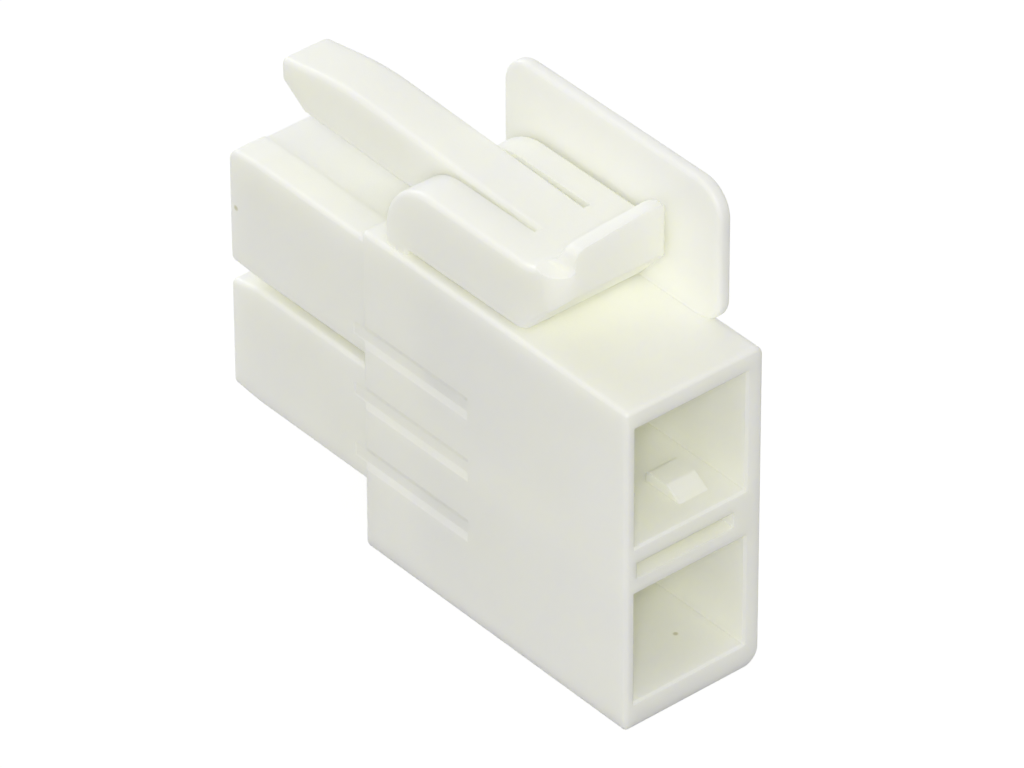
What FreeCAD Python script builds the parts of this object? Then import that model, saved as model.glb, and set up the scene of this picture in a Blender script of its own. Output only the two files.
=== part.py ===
import FreeCAD, Part
import math
import os

from FreeCAD import Vector

# Two-way plug housing, moulded in one piece. Millimetres.
# X runs from the wire side to the mating side, Y across the housing, Z up.
# The origin is under the middle of the housing, on the face that it rests on.

# Body
BODY_LENGTH = 16.0
BODY_WIDTH = 7.0
BODY_HEIGHT = 15.5
BODY_EDGE_RADIUS = 0.2
BODY_GUARD_TOP_RADIUS = 0.45
BODY_GUARD_FOOT_RADIUS = 0.8
SHOULDER_EDGE_RADIUS = 0.3

# Mating towers, one above the other
CONTACT_PITCH = 6.2
TOWER_LENGTH = 8.4
TOWER_HEIGHT = 5.66
TOWER_INSET = 0.1
TOWER_TOP_DROP = 0.45
TOWER_WALL = 0.75
TOWER_EDGE_RADIUS = 0.2
NOSE_LENGTH = 1.7
NOSE_RADIUS = 0.3
NOSE_CROWN_RADIUS = 0.6
NOSE_BLEND_RADIUS = 1.5
NOSE_OUTER_TAPER = 0.15
NOSE_UPPER_GAP_TAPER = 0.08
NOSE_LOWER_GAP_TAPER = 0.35

# Shallow channel along the top of the upper tower, below the latch arm
CHANNEL_WIDTH = 3.1
CHANNEL_DEPTH = 0.5
CHANNEL_FLANK = 0.3

# Contact cavities, open at the wire side and set off from the guard's side
CAVITY_WIDTH = 5.66
CAVITY_OFFSET = 0.18
CEILING_WALL = 0.95
FLOOR_WALL = 1.25
MOUTH_LEAD_IN = 0.1
STEP_SETBACK = 4.0
STEP_LENGTH = 1.6
BORE_WIDTH = 5.2
FRONT_WALL = 0.9
WINDOW_WIDTH = 3.4
WINDOW_HEIGHT = 2.2
WINDOW_LEAD_IN = 0.4

# Partition between the cavities, with a slot in its wire side end
PARTITION_CENTRE = 7.72
PARTITION_THICKNESS = 2.3
PARTITION_SLOT_HEIGHT = 0.75
PARTITION_SLOT_WIDTH = 5.0
PARTITION_SLOT_OFFSET = 0.45
PARTITION_SLOT_DEPTH = 1.8

# Locking noses, one on each side of the partition
LOCK_WIDTH = 1.5
LOCK_OFFSET = -0.85
LOCK_RISE = 0.5
LOCK_RAMP_LENGTH = 0.8
LOCK_LENGTH = 2.0
LOCK_NOSE_RADIUS = 0.2
LOCK_SETBACK = 1.0

# Three keying grooves in the side away from the guard
GROOVE_COUNT = 3
GROOVE_PITCH = 3.0
GROOVE_LOWEST = 4.4
GROOVE_WIDTH = 1.1
GROOVE_DEPTH = 0.13
GROOVE_FLANK = 0.3
GROOVE_LENGTH = 6.5
GROOVE_OVERRUN = 0.6

# Guard plate beside the latch, standing on the top of the body
GUARD_THICKNESS = 0.62
GUARD_HEIGHT = 6.35
GUARD_REAR_SETBACK = 1.94
GUARD_FRONT_SETBACK = 1.2
GUARD_TOP_RADIUS = 1.45
GUARD_HEEL_RADIUS = 1.2
GUARD_HEEL_DROP = 0.1
GUARD_EDGE_RADIUS = 0.2

# Latch: two side strips on front legs, a rear thumb pad, and a centre arm
LATCH_WIDTH = 5.95
LATCH_CLEARANCE = 0.18
LATCH_GAP = 0.2
LATCH_THICKNESS = 3.25
LATCH_EDGE_RADIUS = 0.25
LEG_SETBACK = 1.2
LEG_LENGTH = 1.35
LEG_TOP_RADIUS = 2.7
LEG_INNER_RADIUS = 0.1
PAD_SETBACK = 4.35
PAD_UNDERSIDE_RISE = 2.35
PAD_LENGTH = 3.4
PAD_RAMP_LENGTH = 2.1
PAD_RAMP_RADIUS = 1.0
PAD_CORNER_RADIUS = 1.0
LIP_HEIGHT = 1.65
LIP_THICKNESS = 0.55
LIP_SLOPE = 0.45
LIP_TOP_RADIUS = 0.25
LIP_ROOT_RADIUS = 1.5
LIP_GUARD_SIDE_RADIUS = 1.2
LIP_OPEN_SIDE_INSET = 0.9
LIP_OPEN_SIDE_STEP = 0.15
LIP_OPEN_SIDE_RADIUS = 0.5
LIP_OPEN_SIDE_FALL = 0.45
ARM_WIDTH = 2.4
ARM_OFFSET = 0.1
ARM_GAP = 0.95
ARM_SLOT_WIDTH = 0.2
ARM_TIP_SETBACK = 0.85
ARM_CROWN_SETBACK = 4.6
ARM_CROWN_RISE = 0.45
ARM_CROWN_RADIUS = 14.0
ARM_TIP_FALL = 0.2
ARM_TIP_THICKNESS = 1.0
ARM_TIP_RADIUS = 0.3
ARM_BEVEL_LENGTH = 1.4
ARM_BEVEL_RISE = 0.95
CATCH_SETBACK = 2.4
CATCH_LENGTH = 2.2
CATCH_WIDTH = 1.5
CATCH_DEPTH = 0.9

# How far a feature reaches into its neighbour, or a cut past a face
OVERLAP = 0.4

REAR = -(BODY_LENGTH + TOWER_LENGTH) / 2.0
SHOULDER = REAR + BODY_LENGTH
FRONT = SHOULDER + TOWER_LENGTH
TOWER_TOP = BODY_HEIGHT - TOWER_TOP_DROP
GUARD_INNER_FACE = -BODY_WIDTH / 2.0 + GUARD_THICKNESS
LATCH_NEAR_GUARD = GUARD_INNER_FACE + LATCH_CLEARANCE
LATCH_FAR_SIDE = LATCH_NEAR_GUARD + LATCH_WIDTH
LATCH_UNDERSIDE = BODY_HEIGHT + LATCH_GAP
LATCH_TOP = LATCH_UNDERSIDE + LATCH_THICKNESS
ARM_UNDERSIDE = BODY_HEIGHT + ARM_GAP
PAD_REAR = REAR + PAD_SETBACK
SLOT_END = PAD_REAR + PAD_LENGTH


def rounded_outline(corners):
    """Closed XZ wire through corners given as (x, z, radius), each corner rounded by an arc."""
    count = len(corners)
    edges = []
    trimmed = []
    for index in range(count):
        before = Vector(corners[index - 1][0], 0, corners[index - 1][1])
        here = Vector(corners[index][0], 0, corners[index][1])
        after = Vector(corners[(index + 1) % count][0], 0, corners[(index + 1) % count][1])
        radius = corners[index][2]
        to_before = (before - here).normalize()
        to_after = (after - here).normalize()
        if radius == 0:
            trimmed.append((here, here, here))
            continue
        half = to_before.getAngle(to_after) / 2.0
        reach = radius / math.tan(half)
        bisector = (to_before + to_after).normalize()
        middle = here + bisector * (radius / math.sin(half) - radius)
        trimmed.append((here + to_before * reach, middle, here + to_after * reach))
    for index in range(count):
        start, middle, end = trimmed[index]
        if corners[index][2] > 0:
            edges.append(Part.Arc(start, middle, end).toShape())
        next_start = trimmed[(index + 1) % count][0]
        edges.append(Part.LineSegment(end, next_start).toShape())
    return Part.Wire(edges)


def slab(corners, y_low, y_high):
    """Solid with a rounded XZ outline between two Y values."""
    face = Part.Face(rounded_outline(corners))
    face.translate(Vector(0, y_low, 0))
    return face.extrude(Vector(0, y_high - y_low, 0))


def bar(corners, x_low, x_high):
    """Solid with a rounded YZ outline, its corners given as (y, z, radius), between two X values."""
    face = Part.Face(rounded_outline(corners))
    face.rotate(Vector(0, 0, 0), Vector(0, 0, 1), 90)
    face.translate(Vector(x_low, 0, 0))
    return face.extrude(Vector(x_high - x_low, 0, 0))


def soften(solid, axis, place, radius):
    """Round every edge that lies wholly in the plane across an axis at one place."""
    edges = []
    for edge in solid.Edges:
        low = getattr(edge.BoundBox, axis + "Min")
        high = getattr(edge.BoundBox, axis + "Max")
        if abs(low - place) < 1e-4 and abs(high - place) < 1e-4:
            edges.append(edge)
    return solid.makeFillet(radius, edges)


def soft_slab(corners, y_low, y_high, radius):
    """Slab whose side edges are rounded."""
    solid = soften(slab(corners, y_low, y_high), "Y", y_low, radius)
    return soften(solid, "Y", y_high, radius)


def block(x_low, x_high, y_low, y_high, z_low, z_high):
    """Plain box between six values."""
    corner = Vector(x_low, y_low, z_low)
    return Part.makeBox(x_high - x_low, y_high - y_low, z_high - z_low, corner)


def rectangle_at(x, middle, width, z_low, z_high):
    """Rectangular wire in the plane of one X value, with its middle at one Y value."""
    points = [
        Vector(x, middle - width / 2.0, z_low),
        Vector(x, middle + width / 2.0, z_low),
        Vector(x, middle + width / 2.0, z_high),
        Vector(x, middle - width / 2.0, z_high),
    ]
    return Part.makePolygon(points + points[:1])


def funnel(x_wide, x_narrow, middle, width, z_low, z_high, spread):
    """Tapered opening, wider by spread all round at x_wide than at x_narrow."""
    wide = rectangle_at(x_wide, middle, width + 2 * spread, z_low - spread, z_high + spread)
    narrow = rectangle_at(x_narrow, middle, width, z_low, z_high)
    return Part.makeLoft([wide, narrow], True, True)


def tower_span(index):
    """Lowest and highest Z of a tower, counted from the top one."""
    high = TOWER_TOP - index * CONTACT_PITCH
    return high - TOWER_HEIGHT, high


def bore_span(index):
    """Lowest and highest Z of the contact bore inside a tower."""
    low, high = tower_span(index)
    return low + TOWER_WALL, high - TOWER_WALL - CHANNEL_DEPTH


def cavity_span(index):
    """Lowest and highest Z of a cavity at the wire side."""
    half = PARTITION_THICKNESS / 2.0
    if index == 0:
        return PARTITION_CENTRE + half, BODY_HEIGHT - CEILING_WALL
    return FLOOR_WALL, PARTITION_CENTRE - half


def make_body():
    """Outer block of the housing, with fuller edges on the guard's side."""
    half = BODY_WIDTH / 2.0
    corners = [
        (-half, 0.0, BODY_GUARD_FOOT_RADIUS),
        (half, 0.0, BODY_EDGE_RADIUS),
        (half, BODY_HEIGHT, BODY_EDGE_RADIUS),
        (-half, BODY_HEIGHT, BODY_GUARD_TOP_RADIUS),
    ]
    solid = soften(bar(corners, REAR, SHOULDER), "X", REAR, BODY_EDGE_RADIUS)
    return soften(solid, "X", SHOULDER, SHOULDER_EDGE_RADIUS)


def make_tower(index):
    """One mating tower, with a nose that tapers most on the side of the gap."""
    low, high = tower_span(index)
    low_taper = NOSE_UPPER_GAP_TAPER if index == 0 else NOSE_OUTER_TAPER
    high_taper = NOSE_OUTER_TAPER if index == 0 else NOSE_LOWER_GAP_TAPER
    high_radius = NOSE_CROWN_RADIUS if index == 0 else NOSE_RADIUS
    root = SHOULDER - OVERLAP
    corners = [
        (root, low, 0),
        (FRONT - NOSE_LENGTH, low, NOSE_BLEND_RADIUS),
        (FRONT, low + low_taper, NOSE_RADIUS),
        (FRONT, high - high_taper, high_radius),
        (FRONT - NOSE_LENGTH, high, NOSE_BLEND_RADIUS),
        (root, high, 0),
    ]
    half = BODY_WIDTH / 2.0 - TOWER_INSET
    return soft_slab(corners, -half, half, TOWER_EDGE_RADIUS)


def make_channel():
    """Cut for the shallow channel in the top of the upper tower."""
    half = CHANNEL_WIDTH / 2.0
    floor = TOWER_TOP - CHANNEL_DEPTH
    rim = half + CHANNEL_FLANK
    sky = TOWER_TOP + OVERLAP
    points = [
        Vector(SHOULDER, -half, floor),
        Vector(SHOULDER, half, floor),
        Vector(SHOULDER, rim, TOWER_TOP),
        Vector(SHOULDER, rim, sky),
        Vector(SHOULDER, -rim, sky),
        Vector(SHOULDER, -rim, TOWER_TOP),
    ]
    face = Part.Face(Part.makePolygon(points + points[:1]))
    return face.extrude(Vector(TOWER_LENGTH + OVERLAP, 0, 0))


def make_cavity(index):
    """Cut for one contact cavity: wide at the wire side, narrower in the tower."""
    low, high = cavity_span(index)
    bore_low, bore_high = bore_span(index)
    step_start = SHOULDER - STEP_SETBACK
    step_end = step_start + STEP_LENGTH
    sections = [
        rectangle_at(REAR - OVERLAP, CAVITY_OFFSET, CAVITY_WIDTH, low, high),
        rectangle_at(step_start, CAVITY_OFFSET, CAVITY_WIDTH, low, high),
        rectangle_at(step_end, 0, BORE_WIDTH, bore_low, bore_high),
        rectangle_at(FRONT - FRONT_WALL, 0, BORE_WIDTH, bore_low, bore_high),
    ]
    passage = Part.makeLoft(sections, True, True)
    inner = REAR + MOUTH_LEAD_IN
    mouth = funnel(REAR, inner, CAVITY_OFFSET, CAVITY_WIDTH, low, high, MOUTH_LEAD_IN)
    return passage.fuse(mouth)


def make_window(index):
    """Cut for the opening in a tower's front wall, with its lead-in."""
    bore_low, bore_high = bore_span(index)
    middle = (bore_low + bore_high) / 2.0
    low = middle - WINDOW_HEIGHT / 2.0
    high = middle + WINDOW_HEIGHT / 2.0
    half = WINDOW_WIDTH / 2.0
    hole = block(FRONT - FRONT_WALL - OVERLAP, FRONT + OVERLAP, -half, half, low, high)
    inner = FRONT - WINDOW_LEAD_IN
    return hole.fuse(funnel(FRONT, inner, 0, WINDOW_WIDTH, low, high, WINDOW_LEAD_IN))


def make_partition_slot():
    """Cut for the slot between the two halves of the partition."""
    half_width = PARTITION_SLOT_WIDTH / 2.0
    half_height = PARTITION_SLOT_HEIGHT / 2.0
    return block(
        REAR - OVERLAP,
        REAR + PARTITION_SLOT_DEPTH,
        PARTITION_SLOT_OFFSET - half_width,
        PARTITION_SLOT_OFFSET + half_width,
        PARTITION_CENTRE - half_height,
        PARTITION_CENTRE + half_height,
    )


def make_lock(side):
    """Ramped locking nose on one side of the partition: side is 1 for up, -1 for down."""
    skin = PARTITION_CENTRE + side * PARTITION_THICKNESS / 2.0
    root = skin - side * (PARTITION_THICKNESS - PARTITION_SLOT_HEIGHT) / 4.0
    tip = skin + side * LOCK_RISE
    start = REAR + LOCK_SETBACK
    corners = [
        (start, root, 0),
        (start, skin, 0),
        (start + LOCK_RAMP_LENGTH, tip, LOCK_NOSE_RADIUS),
        (start + LOCK_LENGTH, tip, LOCK_NOSE_RADIUS),
        (start + LOCK_LENGTH, root, 0),
    ]
    return slab(corners, LOCK_OFFSET - LOCK_WIDTH / 2.0, LOCK_OFFSET + LOCK_WIDTH / 2.0)


def make_groove(index):
    """Cut for one keying groove, open at the shoulder."""
    outer = BODY_WIDTH / 2.0
    floor = outer - GROOVE_DEPTH
    middle = GROOVE_LOWEST + index * GROOVE_PITCH
    rim = GROOVE_WIDTH / 2.0
    bed = rim - GROOVE_FLANK
    start = SHOULDER - GROOVE_LENGTH
    points = [
        Vector(start, floor, middle - bed),
        Vector(start, floor, middle + bed),
        Vector(start, outer, middle + rim),
        Vector(start, outer + OVERLAP, middle + rim),
        Vector(start, outer + OVERLAP, middle - rim),
        Vector(start, outer, middle - rim),
    ]
    face = Part.Face(Part.makePolygon(points + points[:1]))
    return face.extrude(Vector(GROOVE_LENGTH + GROOVE_OVERRUN, 0, 0))


def make_guard():
    """Thin plate flush with one side of the body, on a root that fills the rounded edge."""
    outer = -BODY_WIDTH / 2.0
    rear = REAR + GUARD_REAR_SETBACK
    front = SHOULDER - GUARD_FRONT_SETBACK
    heel = BODY_HEIGHT - GUARD_HEEL_DROP
    top = BODY_HEIGHT + GUARD_HEIGHT
    corners = [
        (rear, heel, GUARD_HEEL_RADIUS),
        (front, heel, 0),
        (front, top, GUARD_TOP_RADIUS),
        (rear, top, GUARD_TOP_RADIUS),
    ]
    plate = soft_slab(corners, outer, GUARD_INNER_FACE, GUARD_EDGE_RADIUS)
    root = block(
        rear + GUARD_HEEL_RADIUS,
        front - GUARD_EDGE_RADIUS,
        outer,
        GUARD_INNER_FACE,
        BODY_HEIGHT - 1.1 * BODY_GUARD_TOP_RADIUS,
        heel + OVERLAP,
    )
    return plate.fuse(root)


def make_strips():
    """Side strips, their legs and the thumb pad with its lip, before the arm is parted off."""
    leg_front = SHOULDER - LEG_SETBACK
    foot = BODY_HEIGHT - OVERLAP
    lip_top = LATCH_TOP + LIP_HEIGHT
    corners = [
        (leg_front, foot, 0),
        (leg_front, LATCH_TOP, LEG_TOP_RADIUS),
        (PAD_REAR + LIP_THICKNESS + LIP_SLOPE, LATCH_TOP, LIP_ROOT_RADIUS),
        (PAD_REAR + LIP_THICKNESS, lip_top, LIP_TOP_RADIUS),
        (PAD_REAR, lip_top, LIP_TOP_RADIUS),
        (PAD_REAR, LATCH_UNDERSIDE + PAD_UNDERSIDE_RISE, LIP_TOP_RADIUS),
        (PAD_REAR + PAD_RAMP_LENGTH, LATCH_UNDERSIDE, PAD_RAMP_RADIUS),
        (leg_front - LEG_LENGTH, LATCH_UNDERSIDE, LEG_INNER_RADIUS),
        (leg_front - LEG_LENGTH, foot, 0),
    ]
    strips = soft_slab(corners, LATCH_NEAR_GUARD, LATCH_FAR_SIDE, LATCH_EDGE_RADIUS)
    return strips.common(make_pad_limit(lip_top)).common(make_lip_limit(lip_top))


def make_pad_limit(lip_top):
    """Block whose rear end gives the thumb pad its rounded corners, seen from above."""
    lying = [
        (PAD_REAR, LATCH_NEAR_GUARD, PAD_CORNER_RADIUS),
        (SHOULDER, LATCH_NEAR_GUARD, 0),
        (SHOULDER, LATCH_FAR_SIDE, 0),
        (PAD_REAR, LATCH_FAR_SIDE, PAD_CORNER_RADIUS),
    ]
    face = Part.Face(rounded_outline(lying))
    face.rotate(Vector(0, 0, 0), Vector(1, 0, 0), -90)
    face.translate(Vector(0, 0, BODY_HEIGHT - 2 * OVERLAP))
    return face.extrude(Vector(0, 0, lip_top - BODY_HEIGHT + 2 * OVERLAP))


def make_lip_limit(lip_top):
    """Block whose top gives the lip its rounded ends, seen along the housing."""
    step = LATCH_TOP + LIP_OPEN_SIDE_STEP
    end = LATCH_FAR_SIDE - LIP_OPEN_SIDE_INSET
    across = [
        (LATCH_NEAR_GUARD, BODY_HEIGHT - 2 * OVERLAP, 0),
        (LATCH_FAR_SIDE, BODY_HEIGHT - 2 * OVERLAP, 0),
        (LATCH_FAR_SIDE, step, 0),
        (end, step, LIP_TOP_RADIUS),
        (end, lip_top - LIP_OPEN_SIDE_FALL, LIP_OPEN_SIDE_RADIUS),
        (LATCH_NEAR_GUARD, lip_top, LIP_GUARD_SIDE_RADIUS),
    ]
    return bar(across, REAR, SHOULDER)


def make_arm():
    """Centre arm, from the thumb pad to its bevelled tip over the towers."""
    tip = FRONT - ARM_TIP_SETBACK
    root = SLOT_END - OVERLAP
    tip_top = LATCH_TOP - ARM_TIP_FALL
    tip_low = tip_top - ARM_TIP_THICKNESS
    corners = [
        (root, ARM_UNDERSIDE, 0),
        (tip - ARM_BEVEL_LENGTH, tip_low - ARM_BEVEL_RISE, ARM_TIP_RADIUS),
        (tip, tip_low, ARM_TIP_RADIUS),
        (tip, tip_top, ARM_TIP_RADIUS),
        (FRONT - ARM_CROWN_SETBACK, LATCH_TOP + ARM_CROWN_RISE, ARM_CROWN_RADIUS),
        (root, LATCH_TOP, 0),
    ]
    low_side = ARM_OFFSET - ARM_WIDTH / 2.0
    arm = soft_slab(corners, low_side, low_side + ARM_WIDTH, LATCH_EDGE_RADIUS)
    catch_end = tip - CATCH_SETBACK
    catch = block(
        catch_end - CATCH_LENGTH,
        catch_end,
        ARM_OFFSET - CATCH_WIDTH / 2.0,
        ARM_OFFSET + CATCH_WIDTH / 2.0,
        ARM_UNDERSIDE - OVERLAP,
        ARM_UNDERSIDE + CATCH_DEPTH,
    )
    return arm.cut(catch)


def make_latch():
    """The whole sprung latch: strips and pad, with the arm between two slots."""
    half_opening = ARM_WIDTH / 2.0 + ARM_SLOT_WIDTH
    opening = block(
        SLOT_END,
        SHOULDER,
        ARM_OFFSET - half_opening,
        ARM_OFFSET + half_opening,
        BODY_HEIGHT - 2 * OVERLAP,
        LATCH_TOP + OVERLAP,
    )
    return make_strips().cut(opening).fuse(make_arm())


def make_housing():
    """The moulding in one piece."""
    solid = make_body()
    solid = solid.fuse([make_tower(0), make_tower(1), make_guard(), make_latch()])
    cuts = [make_channel(), make_partition_slot()]
    for index in range(2):
        cuts.append(make_cavity(index))
        cuts.append(make_window(index))
    for index in range(GROOVE_COUNT):
        cuts.append(make_groove(index))
    solid = solid.cut(cuts)
    solid = solid.fuse([make_lock(1), make_lock(-1)])
    return solid.removeSplitter()


def main():
    """Write the housing to its file."""
    os.makedirs("parts", exist_ok=True)
    housing = make_housing()
    box = housing.BoundBox
    print("solids", len(housing.Solids), "valid", housing.isValid(), "volume", round(housing.Volume, 2))
    print("size", round(box.XLength, 3), round(box.YLength, 3), round(box.ZLength, 3))
    housing.exportStep("parts/housing.step")


main()
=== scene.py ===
"""Finish, camera and studio for a two-way plug housing moulded in natural nylon.

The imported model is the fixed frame: X runs from the wire side to the mating side, Y across the
housing, Z up, with the origin under its middle. Sizes here are in millimetres until they are
handed to Blender, which works in metres.
"""

import logging
import math
from dataclasses import dataclass
from enum import Enum

import bpy
from mathutils import Matrix, Vector


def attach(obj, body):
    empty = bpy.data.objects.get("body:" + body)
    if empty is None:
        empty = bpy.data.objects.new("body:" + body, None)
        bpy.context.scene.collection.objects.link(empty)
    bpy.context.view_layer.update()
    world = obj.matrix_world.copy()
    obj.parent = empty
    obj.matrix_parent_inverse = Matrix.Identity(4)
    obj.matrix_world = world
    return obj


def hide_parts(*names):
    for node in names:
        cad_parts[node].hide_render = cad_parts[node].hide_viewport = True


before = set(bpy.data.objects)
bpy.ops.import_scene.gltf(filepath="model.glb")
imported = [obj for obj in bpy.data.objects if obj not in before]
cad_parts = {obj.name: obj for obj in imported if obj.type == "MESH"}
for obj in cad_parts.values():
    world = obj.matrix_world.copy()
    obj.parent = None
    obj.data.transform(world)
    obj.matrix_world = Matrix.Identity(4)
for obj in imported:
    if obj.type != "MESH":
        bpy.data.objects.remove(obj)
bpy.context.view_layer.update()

MM = 0.001
SENSOR_MM = 36.0
JOIN_MM = 0.0001
MIX_COLOUR_INPUTS = (0, 6, 7)
MIX_COLOUR_OUTPUT = 2
WHITE = (1.0, 1.0, 1.0)
LOG = logging.getLogger("housing")


class View(Enum):
    """Ways in which a camera can be held, as azimuth, elevation and roll in degrees."""

    PHOTOGRAPH = (229.872, 36.528, -0.223)


class Tree:
    """A node tree with short calls to add and join nodes."""

    def __init__(self, tree: bpy.types.NodeTree) -> None:
        """Start from an empty tree.

        Args:
            tree: The tree that is cleared and filled.
        """
        self.tree = tree
        tree.nodes.clear()

    def add(self, kind: str, **settings: object) -> bpy.types.Node:
        """Add one node.

        Args:
            kind: Blender's name for the node's type.
            **settings: Properties of the node, by name.

        Returns:
            The new node.
        """
        node = self.tree.nodes.new(kind)
        for name, value in settings.items():
            setattr(node, name, value)
        return node

    def put(self, node: bpy.types.Node, **values: object) -> bpy.types.Node:
        """Set unlinked inputs of a node, with an underscore for each space in their names.

        Args:
            node: The node whose inputs are set.
            **values: The values, by input name.

        Returns:
            The same node.
        """
        for name, value in values.items():
            node.inputs[name.replace("_", " ")].default_value = value
        return node

    def join(self, source: bpy.types.NodeSocket, target: bpy.types.NodeSocket) -> None:
        """Link an output to an input."""
        self.tree.links.new(source, target)


@dataclass(frozen=True)
class Speck:
    """A dark speck that was moulded into the skin.

    Attributes:
        place_mm: Its middle.
        radius_mm: Its radius, where it fades out.
        core: Share of the radius that is fully dark.
    """

    place_mm: tuple[float, float, float]
    radius_mm: float
    core: float = 0.3

    def mask(self, tree: Tree, place: bpy.types.NodeSocket) -> bpy.types.NodeSocket:
        """Tell where the speck is.

        Args:
            tree: The material's tree.
            place: The point that is shaded.

        Returns:
            A socket that is 1 inside the speck and 0 outside.
        """
        reach = tree.add("ShaderNodeVectorMath", operation="DISTANCE")
        tree.join(place, reach.inputs[0])
        reach.inputs[1].default_value = tuple(value * MM for value in self.place_mm)
        edge = tree.add("ShaderNodeMapRange", interpolation_type="SMOOTHSTEP")
        radius = self.radius_mm * MM
        tree.put(edge, From_Min=self.core * radius, From_Max=radius, To_Min=1.0, To_Max=0.0)
        tree.join(reach.outputs["Value"], edge.inputs["Value"])
        return edge.outputs["Result"]


@dataclass(frozen=True)
class NylonFinish:
    """Natural nylon as it comes out of the mould: off-white, satin and faintly translucent.

    Attributes:
        pale: Linear colour of most of the surface.
        deep: Linear colour where the moulding is a little yellower.
        dirt: Linear colour of the specks.
        cloud_mm: Length over which the two tones change.
        cloud_stops: Levels of the noise at which the two tones are pure.
        specks: The specks that the housing has.
        scatter_mm: How far red, green and blue light travel inside the wall.
        gloss: Least and greatest roughness of the satin skin.
        gloss_mm: Length over which the roughness changes.
        gloss_stops: Levels of the noise at which the roughness is least and greatest.
        refraction: Index of refraction.
        grain_mm: Size of the mould's fine texture.
        grain_depth_mm: Height of that texture.
        sink_mm: Length of the slow waves that shrinkage leaves in the walls.
        sink_depth_mm: Height of those waves.
    """

    pale: tuple[float, float, float] = (0.966, 0.969, 0.898)
    deep: tuple[float, float, float] = (0.960, 0.962, 0.870)
    dirt: tuple[float, float, float] = (0.66, 0.64, 0.52)
    cloud_mm: float = 5.0
    cloud_stops: tuple[float, float] = (0.35, 0.6)
    specks: tuple[Speck, ...] = (
        Speck((11.75, 3.4, 12.19), 0.17),
        Speck((-9.93, -1.08, 1.25), 0.15),
    )
    scatter_mm: tuple[float, float, float] = (1.0, 1.0, 0.75)
    gloss: tuple[float, float] = (0.38, 0.48)
    gloss_mm: float = 1.6
    gloss_stops: tuple[float, float] = (0.3, 0.7)
    refraction: float = 1.53
    grain_mm: float = 0.12
    grain_depth_mm: float = 0.004
    sink_mm: float = 3.0
    sink_depth_mm: float = 0.03

    def material(self) -> bpy.types.Material:
        """Build the finish.

        Returns:
            The node material.
        """
        material = bpy.data.materials.new("natural_nylon")
        material.use_nodes = True
        tree = Tree(material.node_tree)
        output = tree.add("ShaderNodeOutputMaterial")
        shader = tree.add("ShaderNodeBsdfPrincipled")
        tree.put(
            shader,
            IOR=self.refraction,
            Subsurface_Weight=1.0,
            Subsurface_Radius=self.scatter_mm,
            Subsurface_Scale=MM,
        )
        place = tree.add("ShaderNodeTexCoord").outputs["Object"]
        tree.join(self.tone(tree, place), shader.inputs["Base Color"])
        tree.join(self.satin(tree, place), shader.inputs["Roughness"])
        tree.join(self.relief(tree, place), shader.inputs["Normal"])
        tree.join(shader.outputs["BSDF"], output.inputs["Surface"])
        return material

    def waves(self, tree: Tree, place: bpy.types.NodeSocket, size_mm: float) -> bpy.types.NodeSocket:
        """Add a soft noise of one size.

        Args:
            tree: The material's tree.
            place: The point that is shaded.
            size_mm: Length of its waves.

        Returns:
            The noise, from 0 to 1.
        """
        noise = tree.add("ShaderNodeTexNoise")
        tree.put(noise, Scale=1.0 / (size_mm * MM), Detail=2.0, Roughness=0.5)
        tree.join(place, noise.inputs["Vector"])
        return noise.outputs["Fac"]

    def tone(self, tree: Tree, place: bpy.types.NodeSocket) -> bpy.types.NodeSocket:
        """Let the off-white drift a little, and set the specks in it.

        Args:
            tree: The material's tree.
            place: The point that is shaded.

        Returns:
            The colour that the shader takes.
        """
        ramp = tree.add("ShaderNodeValToRGB")
        for stop, at, colour in zip(ramp.color_ramp.elements, self.cloud_stops, (self.deep, self.pale)):
            stop.position = at
            stop.color = (*colour, 1.0)
        tree.join(self.waves(tree, place, self.cloud_mm), ramp.inputs["Fac"])
        colour = ramp.outputs["Color"]
        for speck in self.specks:
            mix = tree.add("ShaderNodeMix", data_type="RGBA")
            factor, clean, dirty = (mix.inputs[number] for number in MIX_COLOUR_INPUTS)
            tree.join(speck.mask(tree, place), factor)
            tree.join(colour, clean)
            dirty.default_value = (*self.dirt, 1.0)
            colour = mix.outputs[MIX_COLOUR_OUTPUT]
        return colour

    def satin(self, tree: Tree, place: bpy.types.NodeSocket) -> bpy.types.NodeSocket:
        """Let the skin be a little glossier in places.

        Args:
            tree: The material's tree.
            place: The point that is shaded.

        Returns:
            The roughness that the shader takes.
        """
        spread = tree.add("ShaderNodeMapRange")
        low, high = self.gloss_stops
        smooth, rough = self.gloss
        tree.put(spread, From_Min=low, From_Max=high, To_Min=smooth, To_Max=rough)
        tree.join(self.waves(tree, place, self.gloss_mm), spread.inputs["Value"])
        return spread.outputs["Result"]

    def relief(self, tree: Tree, place: bpy.types.NodeSocket) -> bpy.types.NodeSocket:
        """Add the fine mould texture on top of the slow waves.

        Args:
            tree: The material's tree.
            place: The point that is shaded.

        Returns:
            The normal that the shader takes.
        """
        normal = None
        for size, depth in ((self.sink_mm, self.sink_depth_mm), (self.grain_mm, self.grain_depth_mm)):
            bump = tree.add("ShaderNodeBump")
            tree.put(bump, Strength=1.0, Distance=depth * MM)
            tree.join(self.waves(tree, place, size), bump.inputs["Height"])
            if normal is not None:
                tree.join(normal, bump.inputs["Normal"])
            normal = bump.outputs["Normal"]
        return normal


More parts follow.
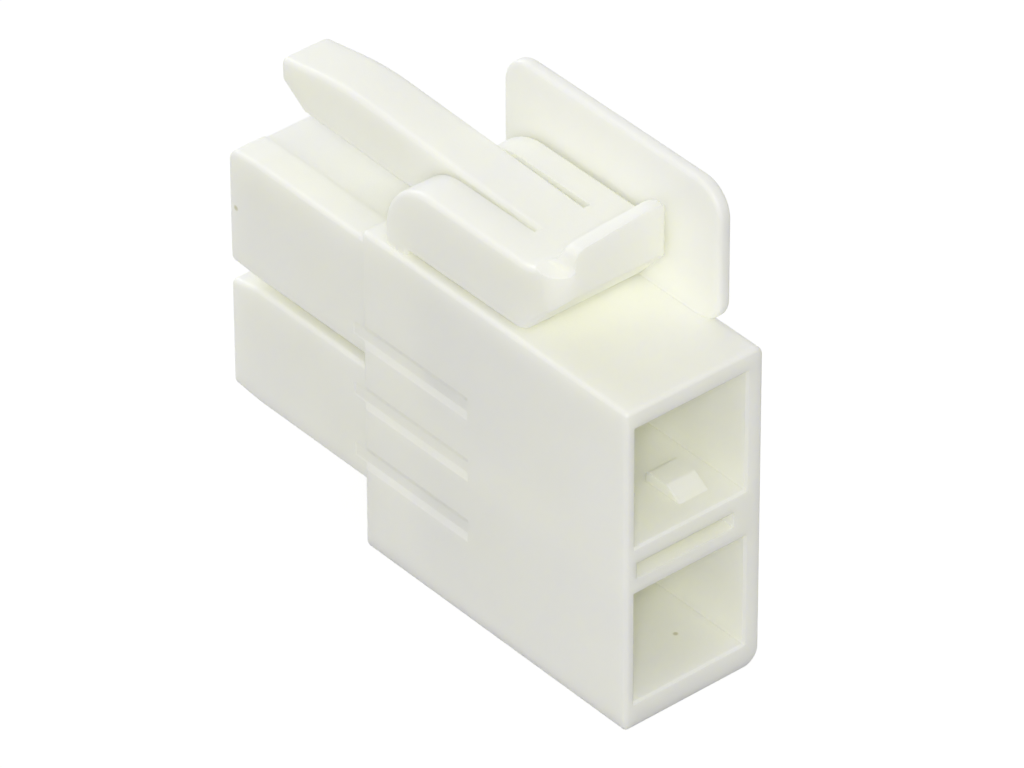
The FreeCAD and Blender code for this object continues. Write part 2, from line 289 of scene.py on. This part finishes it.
@dataclass(frozen=True)
class Corner:
    """A rounded corner of a tower, whose small faces are laid anew.

    Attributes:
        place_mm: The middle of its round.
        out: Which way it points.
        radius_mm: The round's radius.
        reach_mm: How far round it the faces are laid anew.
    """

    place_mm: tuple[float, float, float]
    out: tuple[float, float, float]
    radius_mm: float = 0.2
    reach_mm: float = 0.5

    def tip(self) -> Vector:
        """Give the outermost point of the round."""
        return (Vector(self.place_mm) + Vector(self.out).normalized() * self.radius_mm) * MM

    def holds(self, point: Vector) -> bool:
        """Tell whether a point lies in the part that is laid anew."""
        return (point - Vector(self.place_mm) * MM).length < self.reach_mm * MM


@dataclass
class Skin:
    """The triangles of a solid, with one normal at each of their corners.

    Attributes:
        points: The places that the triangles share.
        faces: The triangles, as three numbers of points.
        normals: The normals of each triangle's corners.
    """

    points: list[Vector]
    faces: list[tuple[int, ...]]
    normals: list[tuple[Vector, ...]]

    @classmethod
    def of(cls, source: bpy.types.Mesh) -> "Skin":
        """Copy a mesh and join the points that its loose triangles share.

        Args:
            source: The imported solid's mesh.

        Returns:
            The skin.
        """
        numbers: dict[tuple[int, ...], int] = {}
        skin = cls([], [], [])
        merged = []
        for vertex in source.vertices:
            key = tuple(round(value / (JOIN_MM * MM)) for value in vertex.co)
            if key not in numbers:
                numbers[key] = len(skin.points)
                skin.points.append(vertex.co.copy())
            merged.append(numbers[key])
        for polygon in source.polygons:
            face = tuple(merged[number] for number in polygon.vertices)
            if len(set(face)) == 3:
                skin.faces.append(face)
                skin.normals.append(tuple(
                    source.corner_normals[loop].vector.copy() for loop in polygon.loop_indices
                ))
        return skin

    def renew(self, corner: Corner) -> None:
        """Lay a corner's faces anew, as a fan from its tip to the faces round it.

        Args:
            corner: The corner.
        """
        inside = {number for number, point in enumerate(self.points) if corner.holds(point)}
        old = [face for face in self.faces if inside.issuperset(face)]
        kept = [
            (face, turn) for face, turn in zip(self.faces, self.normals)
            if not inside.issuperset(face)
        ]
        sides = {pair for face in old for pair in zip(face, face[1:] + face[:1])}
        rim = sorted(pair for pair in sides if pair[::-1] not in sides)
        around: dict[int, Vector] = {}
        for face, turn in kept:
            for number, normal in zip(face, turn):
                around[number] = around.get(number, Vector()) + normal
        self.faces = [face for face, _ in kept]
        self.normals = [turn for _, turn in kept]
        middle = len(self.points)
        self.points.append(corner.tip())
        out = Vector(corner.out)
        for first, second in rim:
            turn = (around.get(first, out), around.get(second, out), out)
            self.faces.append((first, second, middle))
            self.normals.append(tuple(normal.normalized() for normal in turn))

    def mesh(self, name: str) -> bpy.types.Mesh:
        """Make a mesh of the skin.

        Args:
            name: The mesh's name.

        Returns:
            The mesh, smooth where the solid is round.
        """
        used = sorted({number for face in self.faces for number in face})
        place = {number: order for order, number in enumerate(used)}
        mesh = bpy.data.meshes.new(name)
        mesh.from_pydata(
            [self.points[number] for number in used], [],
            [tuple(place[number] for number in face) for face in self.faces],
        )
        mesh.polygons.foreach_set("use_smooth", [True] * len(mesh.polygons))
        mesh.normals_split_custom_set([normal for turn in self.normals for normal in turn])
        return mesh


@dataclass
class Moulding:
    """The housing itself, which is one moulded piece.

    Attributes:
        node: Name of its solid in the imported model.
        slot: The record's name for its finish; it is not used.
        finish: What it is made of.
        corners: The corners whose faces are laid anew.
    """

    node: str = "housing"
    slot: str = "nylon"
    finish: NylonFinish = NylonFinish()
    corners: tuple[Corner, ...] = (
        Corner((12.0, -3.2, 8.32), (1.0, -1.0, 1.0)),
        Corner((12.0, -3.2, 3.62), (1.0, -1.0, -1.0)),
    )

    def build(self) -> bpy.types.Object:
        """Make the housing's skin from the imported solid, dress it and put it in the solid's place.

        Returns:
            The dressed object.
        """
        skin = Skin.of(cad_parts[self.node].data)
        for corner in self.corners:
            skin.renew(corner)
        shell = bpy.data.objects.new("nylon_shell", skin.mesh("nylon_shell"))
        bpy.context.scene.collection.objects.link(shell)
        shell.data.materials.append(self.finish.material())
        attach(shell, "root")
        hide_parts(self.node)
        return shell


@dataclass
class Camera:
    """The camera, held as the photograph's was.

    Attributes:
        view: Its direction and roll.
        target_mm: A point on its axis, inside the housing.
        distance_mm: Distance from that point.
        lens_mm: Focal length on a sensor 36 mm wide.
        clip_m: Nearest and farthest distance that is seen.
    """

    view: View = View.PHOTOGRAPH
    target_mm: tuple[float, float, float] = (-2.019, 0.633, 9.874)
    distance_mm: float = 367.24
    lens_mm: float = 328.414
    clip_m: tuple[float, float] = (0.01, 10.0)

    def build(self) -> bpy.types.Object:
        """Create the camera and make it the scene's.

        Returns:
            The camera object.
        """
        azimuth, elevation, roll = (math.radians(angle) for angle in self.view.value)
        back = Vector((
            math.sin(azimuth) * math.cos(elevation),
            -math.cos(azimuth) * math.cos(elevation),
            math.sin(elevation),
        ))
        right = Vector((0.0, 0.0, 1.0)).cross(back).normalized()
        up = back.cross(right)
        turn = Matrix.Rotation(roll, 3, back)
        right, up = turn @ right, turn @ up
        data = bpy.data.cameras.new("camera")
        data.lens = self.lens_mm
        data.sensor_width = SENSOR_MM
        data.clip_start, data.clip_end = self.clip_m
        camera = bpy.data.objects.new("camera", data)
        place = Matrix((right, up, back)).transposed().to_4x4()
        place.translation = (Vector(self.target_mm) + back * self.distance_mm) * MM
        camera.matrix_world = place
        bpy.context.scene.collection.objects.link(camera)
        bpy.context.scene.camera = camera
        return camera


@dataclass(frozen=True)
class Lamp:
    """A square soft lamp that faces the housing.

    Attributes:
        name: What it is called.
        place_m: Where it stands.
        size_m: Its side.
        power: Its power in watts.
        tint: Its colour, which is close to white.
    """

    name: str
    place_m: tuple[float, float, float]
    size_m: float
    power: float
    tint: tuple[float, float, float] = WHITE

    def build(self) -> bpy.types.Object:
        """Create the lamp.

        Returns:
            The lamp object.
        """
        data = bpy.data.lights.new(self.name, "AREA")
        data.energy = self.power
        data.size = self.size_m
        data.color = self.tint
        lamp = bpy.data.objects.new(self.name, data)
        place = Vector(self.place_m)
        lamp.location = place
        lamp.rotation_euler = place.to_track_quat("Z", "Y").to_euler()
        bpy.context.scene.collection.objects.link(lamp)
        return lamp


@dataclass
class Studio:
    """A white floor under soft, even light.

    Attributes:
        floor_m: Side of the square floor.
        floor_gap_mm: How far it lies below the housing, so that the two faces don't coincide.
        floor_paint: How much light the floor sends back up.
        floor_glow: How brightly the camera sees it glow.
        floor_shade: How much of the light on it the camera sees, which keeps the shadow.
        bounces: How often light may bounce between the pale walls.
        sky: Strength of the light from all round.
        sky_tint: Its colour, which is close to white.
        lamps: The lamps that stand round the housing.
    """

    floor_m: float = 6.0
    floor_gap_mm: float = 0.01
    floor_paint: float = 0.5
    floor_glow: float = 0.86
    floor_shade: float = 0.2
    bounces: int = 16
    sky: float = 0.56
    sky_tint: tuple[float, float, float] = (1.0, 1.0, 0.93)
    lamps: tuple[Lamp, ...] = (
        Lamp("at_the_camera", (-0.307, 0.259, 0.307), 0.07, 0.84),
        Lamp("over_the_towers", (0.45, -0.05, 0.20), 0.30, 0.83, (0.91, 0.94, 1.0)),
        Lamp("beside_the_body", (-0.10, 0.48, 0.12), 0.30, 0.25, (1.0, 1.0, 0.80)),
    )

    def build(self) -> None:
        """Create the floor, the world and the lamps."""
        self.build_floor()
        self.build_sky()
        for lamp in self.lamps:
            LOG.info("lit %s", lamp.build().name)
        scene = bpy.context.scene
        scene.cycles.diffuse_bounces = self.bounces
        scene.cycles.max_bounces = self.bounces
        scene.view_settings.view_transform = "Standard"

    def build_floor(self) -> None:
        """Create the floor, which reads as white and keeps a faint shadow."""
        half = self.floor_m / 2.0
        level = -self.floor_gap_mm * MM
        mesh = bpy.data.meshes.new("floor")
        corners = [(-half, -half, level), (half, -half, level), (half, half, level), (-half, half, level)]
        mesh.from_pydata(corners, [], [(0, 1, 2, 3)])
        floor = bpy.data.objects.new("floor", mesh)
        bpy.context.scene.collection.objects.link(floor)
        mesh.materials.append(self.floor_material())

    def floor_material(self) -> bpy.types.Material:
        """Build the floor's white, which glows for the camera only.

        Returns:
            The node material.
        """
        material = bpy.data.materials.new("white_floor")
        material.use_nodes = True
        tree = Tree(material.node_tree)
        output = tree.add("ShaderNodeOutputMaterial")
        paint = tree.put(tree.add("ShaderNodeBsdfDiffuse"), Color=grey(self.floor_paint))
        faint = tree.put(tree.add("ShaderNodeBsdfDiffuse"), Color=grey(self.floor_shade))
        glow = tree.put(tree.add("ShaderNodeEmission"), Color=grey(1.0), Strength=self.floor_glow)
        shown = tree.add("ShaderNodeAddShader")
        tree.join(faint.outputs[0], shown.inputs[0])
        tree.join(glow.outputs[0], shown.inputs[1])
        mix = tree.add("ShaderNodeMixShader")
        tree.join(seen_directly(tree), mix.inputs[0])
        tree.join(paint.outputs[0], mix.inputs[1])
        tree.join(shown.outputs[0], mix.inputs[2])
        tree.join(mix.outputs[0], output.inputs["Surface"])
        return material

    def build_sky(self) -> None:
        """Light the housing from all round, with white behind it."""
        world = bpy.data.worlds.new("studio")
        world.use_nodes = True
        bpy.context.scene.world = world
        tree = Tree(world.node_tree)
        output = tree.add("ShaderNodeOutputWorld")
        light = tree.put(tree.add("ShaderNodeBackground"), Strength=self.sky)
        light.inputs["Color"].default_value = (*self.sky_tint, 1.0)
        shown = tree.put(tree.add("ShaderNodeBackground"), Strength=1.0)
        shown.inputs["Color"].default_value = grey(1.0)
        mix = tree.add("ShaderNodeMixShader")
        tree.join(seen_directly(tree), mix.inputs[0])
        tree.join(light.outputs[0], mix.inputs[1])
        tree.join(shown.outputs[0], mix.inputs[2])
        tree.join(mix.outputs[0], output.inputs["Surface"])


def grey(level: float) -> tuple[float, float, float, float]:
    """Give an opaque grey of one level."""
    return (level, level, level, 1.0)


def seen_directly(tree: Tree) -> bpy.types.NodeSocket:
    """Tell camera, mirror and glass rays from those that only light the housing.

    Args:
        tree: The tree that asks.

    Returns:
        A socket that is 1 for the rays that show the backdrop.
    """
    path = tree.add("ShaderNodeLightPath")
    glossy = tree.add("ShaderNodeMath", operation="MAXIMUM")
    tree.join(path.outputs["Is Camera Ray"], glossy.inputs[0])
    tree.join(path.outputs["Is Glossy Ray"], glossy.inputs[1])
    clear = tree.add("ShaderNodeMath", operation="MAXIMUM")
    tree.join(glossy.outputs[0], clear.inputs[0])
    tree.join(path.outputs["Is Transmission Ray"], clear.inputs[1])
    return clear.outputs[0]


def main() -> None:
    """Dress the housing and set up the picture."""
    logging.basicConfig(level=logging.INFO, format="%(message)s")
    housing = Moulding().build()
    LOG.info("built %s, %d faces", housing.name, len(housing.data.polygons))
    Camera().build()
    Studio().build()


if __name__ == "__main__":
    main()
